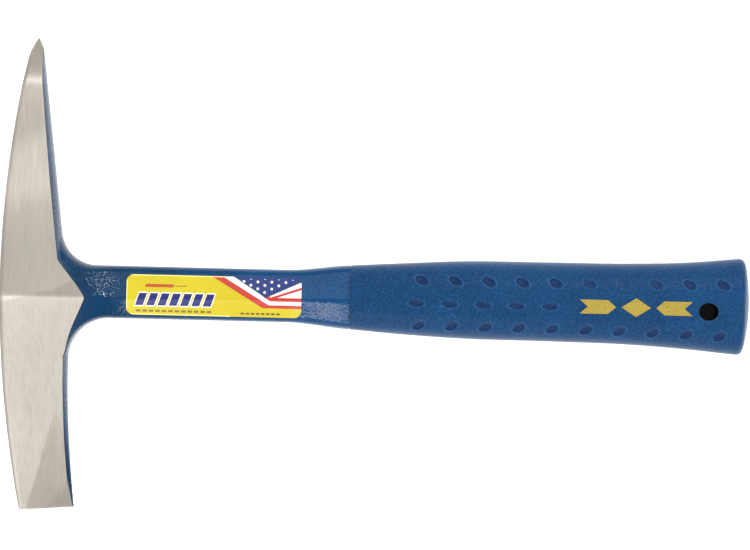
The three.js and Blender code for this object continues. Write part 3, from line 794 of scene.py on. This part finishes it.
def printed_film():
    """Yellow label film. Its print is plain blocks, dashes and stripes in the label's own colours."""
    n = Nodes("printed_film")
    x, y = n.part_xy()

    def above(value, limit):
        return n.math("GREATER_THAN", value, limit)

    def both(*masks):
        out = masks[0]
        for m in masks[1:]:
            out = n.math("MULTIPLY", out, m)
        return out

    def no(mask):
        return n.math("SUBTRACT", 1.0, mask)

    def between(value, low, high):
        return both(above(value, low), no(above(value, high)))

    def line(slope, x_at, y_at):
        """y minus the line through (x_at, y_at)."""
        rise = n.math("MULTIPLY", n.math("SUBTRACT", x, x_at), slope)
        return n.math("SUBTRACT", n.math("SUBTRACT", y, y_at), rise)

    def past(slope, x_at, y_at):
        """The side of that line towards the pick."""
        return above(line(slope, x_at, y_at), 0.0)

    def dashes(start, pitch, share):
        phase = n.math("FRACT", n.math("DIVIDE", n.math("SUBTRACT", x, start), pitch))
        return no(above(phase, share))

    def dots(pitch):
        """Round dots in staggered rows, a quarter of the pitch apart."""
        dot_radius_squared = 0.24

        def off_centre(turned):
            return n.math("SUBTRACT", n.math("FRACT", turned), 0.5)
        along, up = n.math("DIVIDE", x, pitch), n.math("DIVIDE", y, pitch / 2)
        a, b = off_centre(n.math("ADD", along, up)), off_centre(n.math("SUBTRACT", along, up))
        across = n.math("MULTIPLY", n.math("ADD", a, b), pitch / 2)
        rise = n.math("MULTIPLY", n.math("SUBTRACT", a, b), pitch / 4)
        reach = n.math("ADD", n.math("MULTIPLY", across, across), n.math("MULTIPLY", rise, rise))
        return no(above(reach, dot_radius_squared))

    def paint(under, ink, *masks):
        return n.mix(both(*masks), under, ink)

    slow = n.noise(n.scaled(0.08, 0.08, 0.08), 2.0, 0.5)
    colour = n.mix(n.fit(slow, 0.35, 0.65, 0.0, 1.0), srgb(191, 174, 2), srgb(195, 179, 5))

    # navy blocks that lean forward, each in a white outline
    first, last, pitch, lean_share = 50.9, 80.2, 4.2, 0.35
    slant = n.math("SUBTRACT", x, n.math("MULTIPLY", n.math("ADD", y, 2.2), lean_share))
    phase = n.math("MODULO", n.math("SUBTRACT", slant, first), pitch)
    row = between(slant, first, last)
    colour = paint(colour, srgb(236, 232, 224), row, between(y, -4.9, 0.5), between(phase, 0.15, 3.8))
    colour = paint(colour, srgb(22, 30, 104), row, between(y, -4.5, 0.1), between(phase, 0.5, 3.45))

    # orange bar with a fine brown rule after it, and dashed brown rules along the lower edge
    colour = paint(colour, srgb(176, 74, 22), between(slant, 52.6, 63.0), between(y, 2.3, 3.5))
    colour = paint(colour, srgb(120, 92, 30), between(x, 64.6, 69.8), between(y, 2.75, 3.05))
    rules = (  # start, end, low, high, pitch, inked share, ink
        (51.0, 79.4, -6.9, -6.1, 2.4, 0.72, srgb(120, 96, 24)),
        (90.0, 105.0, -7.1, -6.4, 1.9, 0.7, srgb(96, 70, 24)),
    )
    for start, end, low, high, step, share, ink in rules:
        colour = paint(colour, ink, between(x, start, end), between(y, low, high), dashes(start, step, share))

    # slanting red, white and navy bands across the handle end
    red, white, navy = srgb(182, 50, 38), srgb(238, 232, 226), srgb(18, 44, 106)
    band, field, foot = -0.60, -0.64, 0.46  # slopes of the bands, the navy field's side and its foot
    top, second_x = LABEL_Y[1], 98.0
    colour = paint(colour, red, past(band, 79.0, top), above(y, -4.6))
    colour = paint(colour, white, past(band, 83.2, top), above(y, -3.4))
    colour = paint(colour, red, past(band, 95.0, 1.6), between(y, -2.0, top), above(x, second_x))
    colour = paint(colour, white, past(band, 95.0, 3.2), above(y, -0.6), above(x, second_x))
    above_foot = past(foot, 99.4, -0.7)
    colour = paint(colour, navy, past(field, 87.2, top), above_foot)
    wave = between(line(0.34, 99.4, -2.0), 0.0, 0.95)
    colour = paint(colour, red, wave, above(x, 101.4), no(above_foot))
    in_field = both(past(field, 87.9, top), past(foot, 99.4, 0.3), no(above(y, 6.2)))
    colour = paint(colour, white, in_field, dots(5.2))

    # the film's cut edge is bare and pale
    rim = 0.28
    border = n.math("MAXIMUM", above(y, LABEL_Y[1] - rim), no(above(y, LABEL_Y[0] + rim)))
    border = n.math("MAXIMUM", border, no(above(x, LABEL_X[0] + rim)))
    colour = paint(colour, srgb(250, 240, 150), border, no(above(x, 86.0)))
    ripple = n.noise(n.scaled(0.5, 0.5, 0.5), 2.0, 0.5)
    return n.set(Base_Color=colour, Roughness=0.34, Specular_IOR_Level=0.25,
                 Coat_Weight=0.08, Coat_Roughness=0.2, Normal=n.bump(ripple, 0.03, 0.3))


def gold_foil():
    n = Nodes("gold_foil")
    grain = n.noise(n.scaled(3.0, 3.0, 3.0), 3.0, 0.6)
    base = n.mix(n.fit(grain, 0.35, 0.7, 0.0, 1.0), srgb(190, 168, 76), srgb(136, 116, 48))
    return n.set(Base_Color=base, Metallic=0.75, Roughness=n.fit(grain, 0.3, 0.7, 0.3, 0.5),
                 Normal=n.bump(grain, 0.04, 0.5))


FLOOR_GLOW = 0.5
EYE_SHADE = (5.0, 9.0)  # the painted shade under the hang hole fades between these radii


def paper_floor():
    """Pale paper, lit a little from behind, painted dark grey and without glow under the hang hole as painted
    shade.
    """
    n = Nodes("studio_floor")
    soft = n.noise(n.scaled(0.01, 0.01, 0.01), 2.0, 0.5)
    paper = n.mix(n.fit(soft, 0.3, 0.7, 0.0, 1.0), (0.90, 0.90, 0.90, 1.0), (0.92, 0.92, 0.92, 1.0))
    x, y = n.part_xy()
    across = n.math("SUBTRACT", x, HANG_X)
    along = n.math("SUBTRACT", y, HANG_Y)
    away = n.math("SQRT", n.math("ADD", n.math("MULTIPLY", across, across), n.math("MULTIPLY", along, along)))
    # painted shade: dark grey paper under the hang hole
    base = n.mix(n.fit(away, *EYE_SHADE, 0.0, 1.0), (0.2, 0.2, 0.2, 1.0), paper)
    return n.set(Base_Color=base, Roughness=0.9, Specular_IOR_Level=0.1, Emission_Color=(1.0, 1.0, 1.0, 1.0),
                 Emission_Strength=n.fit(away, *EYE_SHADE, 0.0, FLOOR_GLOW))


STEEL, SCALE, ENAMEL, VINYL = ground_steel(), forge_scale(), blue_enamel(), blue_vinyl()
BORE_SHADE, FILM, FOIL_GOLD, RIM_SHADE = bore_painted_shade(), printed_film(), gold_foil(), enamel_edge_shade()


def dress(obj, *materials):
    """Gives the object these materials in place of its own."""
    obj.data.materials.clear()
    for m in materials:
        obj.data.materials.append(m)


def pick_faces(obj, index, test):
    """Gives material index to the faces whose centre, in the forging's millimetres, passes test."""
    mesh = obj.data
    centres = np.zeros(len(mesh.polygons) * 3)
    mesh.polygons.foreach_get("center", centres)
    local = (centres.reshape(-1, 3) - np.array(ORIGIN)) / MM
    chosen = test(local[:, 0], local[:, 1], local[:, 2])
    slots = np.zeros(len(mesh.polygons), np.int32)
    mesh.polygons.foreach_get("material_index", slots)
    slots[chosen] = index
    mesh.polygons.foreach_set("material_index", slots)


def in_bore(x, y, z):
    """The hang hole's wall, up to its rounded rim."""
    slack, rim_z = 0.25, 10.75
    near = ((x - HANG_X) / (HANG_RX + slack)) ** 2 + ((y - HANG_Y) / (HANG_RY + slack)) ** 2 < 1.0
    return near & (np.abs(z) < rim_z)


def in_cavity(x, y, z):
    """The walls of the space that the tang fills."""
    mid_y, end_x = -0.9, 272.5
    beside = np.abs(y - mid_y) < TANG_HALF_WIDTH + 1.6
    return beside & (np.abs(z) < TANG_HALF_THICK + 0.6) & (x < end_x)


def on_tang(x, y, z):
    return x > TANG_START_X - 0.5


def ground_flush(x, y, z):
    """The narrow faces where the belt cut through the enamel, flush with the ground cheek."""
    flush, neck_x = 0.03, 45.0
    return (np.abs(np.abs(z) - cheek_z(x, y - lean(y, x))) < flush) & (x < neck_x)


# ---------------------------------------------------------------------------
# the pieces
# ---------------------------------------------------------------------------
VOXEL, SMOOTH_PASSES = 0.42, 14
blank = fuse([head_blank(), neck_blank()], "blank", VOXEL, SMOOTH_PASSES)
envelope = ground_envelope()

# enamel: the blank grown by the film, ground back with the head, less the steel
coat = copy_of(blank, "enamel_film")
grow = coat.modifiers.new("film", "DISPLACE")
grow.strength = SHELL * MM
grow.mid_level = 0.0
bake_modifiers(coat)
boolean(coat, envelope, "INTERSECT")
boolean(coat, blank, "DIFFERENCE")

steel = blank
steel.name = "forged_steel"
use_up(envelope, "INTERSECT", steel)
trim = loft("trim", [[(x, y, z) for y, z in ((30, 20), (-30, 20), (-30, -20), (30, -20))]
                     for x in (NECK_END_X, NECK_END_X + 20)])
use_up(trim, "DIFFERENCE", steel, coat)
use_up(tang("tang_bar", 0.0, TANG_START_X), "UNION", steel)
use_up(hang_core("bore_core", 0.0), "DIFFERENCE", steel)

grip = grip_body()
use_up(tang("tang_cavity", MOULD_GAP, GRIP_START_X - 5.0), "DIFFERENCE", grip)
use_up(hang_core("grip_core", 0.55), "DIFFERENCE", grip)

label = label_film()

dress(steel, STEEL, SCALE)
pick_faces(steel, 1, on_tang)
dress(coat, ENAMEL, RIM_SHADE)
# the enamel's cut faces at the ground cheek take the painted edge shade
pick_faces(coat, 1, ground_flush)
dress(grip, VINYL, BORE_SHADE)
# the hang hole's wall and the cavity walls take the near-black painted shade
pick_faces(grip, 1, in_bore)
pick_faces(grip, 1, in_cavity)
dress(label, FILM)
mark_dimples(grip)
for piece, sharp_angle in ((steel, 32), (coat, 45), (grip, 50), (label, 40)):
    finish_shading(piece, sharp_angle)

for piece, node in ((steel, "forging"), (coat, "enamel_coat"), (grip, "grip"), (label, "neck_label")):
    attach(piece, "root")
    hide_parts(node)

for node in ("grip_mark_lozenge", "grip_mark_head_side", "grip_mark_butt_side"):
    dress(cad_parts[node], FOIL_GOLD)

# ---------------------------------------------------------------------------
# studio
# ---------------------------------------------------------------------------
scene = bpy.context.scene
scene.view_settings.view_transform = "Standard"
scene.view_settings.look = "None"

FLOOR_HALF, FLOOR_GAP = 3.0, 0.0004
floor_mesh = bpy.data.meshes.new("studio_floor")
corners = [(x * FLOOR_HALF, y * FLOOR_HALF, 0) for x, y in ((-1, -1), (1, -1), (1, 1), (-1, 1))]
floor_mesh.from_pydata(corners, [], [(0, 1, 2, 3)])
floor = bpy.data.objects.new("studio_floor", floor_mesh)
scene.collection.objects.link(floor)
floor.location.z = CAD_LOW.z - FLOOR_GAP
floor_mesh.materials.append(paper_floor())

# a soft white dome, brightest around its own axis and dimmer towards the horizon
DOME_AXIS = Vector((-0.12, -0.14, 1.0)).normalized()
DOME_PROFILE = (  # degrees from the axis, brightness
    (0.0, 1.02), (10.0, 1.0), (32.0, 0.62), (50.0, 0.55), (70.0, 0.95), (90.0, 1.3),
)


def dome():
    world = bpy.data.worlds.new("studio")
    world.use_nodes = True
    tree = world.node_tree
    coords = tree.nodes.new("ShaderNodeTexCoord")
    dot = tree.nodes.new("ShaderNodeVectorMath")
    dot.operation = "DOT_PRODUCT"
    tree.links.new(coords.outputs["Generated"], dot.inputs[0])
    dot.inputs[1].default_value = DOME_AXIS
    angle = tree.nodes.new("ShaderNodeMath")
    angle.operation = "ARCCOSINE"
    tree.links.new(dot.outputs["Value"], angle.inputs[0])
    share = tree.nodes.new("ShaderNodeMath")
    share.operation = "MULTIPLY"
    tree.links.new(angle.outputs[0], share.inputs[0])
    share.inputs[1].default_value = 2 / math.pi
    profile = tree.nodes.new("ShaderNodeValToRGB")
    profile.color_ramp.interpolation = "B_SPLINE"
    tree.links.new(share.outputs[0], profile.inputs["Fac"])
    set_stops(profile.color_ramp, [(deg / 90, value) for deg, value in DOME_PROFILE])
    sky = tree.nodes["Background"]
    tree.links.new(profile.outputs["Color"], sky.inputs["Color"])
    sky.inputs["Strength"].default_value = 1.0
    return world


scene.world = dome()


def softbox(name, tilt_x, tilt_y, distance, size, power):
    """A rectangular area light, tilted off the vertical by these angles and aimed at the hammer."""
    light = bpy.data.lights.new(name, "AREA")
    light.shape = "RECTANGLE"
    light.size, light.size_y = size
    light.energy = power
    obj = bpy.data.objects.new(name, light)
    scene.collection.objects.link(obj)
    direction = Vector((math.tan(math.radians(tilt_x)), math.tan(math.radians(tilt_y)), 1.0)).normalized()
    obj.location = direction * distance
    obj.rotation_euler = direction.to_track_quat("Z", "Y").to_euler()


LIGHTS = (  # name, tilt along x, tilt along y, metres away, size, watts
    ("key", -15, -34.5, 1.3, (0.5, 0.26), 5.6),
    ("side", -30, -66, 1.6, (1.0, 0.5), 4.6),
    ("fill", -4, 27, 1.5, (0.9, 0.36), 2.9),
    ("glint", 27, 28, 1.5, (0.075, 0.075), 10.0),
)
for light_row in LIGHTS:
    softbox(*light_row)

CAMERA_HEIGHT = 2.5
SENSOR = 36.0
VIEW_WIDTH = 0.2798
VIEW_X, VIEW_Y = 139.7, 8.8  # the middle of the view, in the forging's millimetres
ROLL = 1.39
lens_data = bpy.data.cameras.new("camera")
lens_data.sensor_width = SENSOR
lens_data.lens = SENSOR * CAMERA_HEIGHT / VIEW_WIDTH
lens_data.clip_start = 0.05
lens_data.clip_end = 20.0
camera = bpy.data.objects.new("camera", lens_data)
scene.collection.objects.link(camera)
camera.location = ORIGIN + Vector((VIEW_X * MM, VIEW_Y * MM, CAMERA_HEIGHT))
camera.rotation_euler = (0.0, 0.0, math.radians(ROLL))
scene.camera = camera
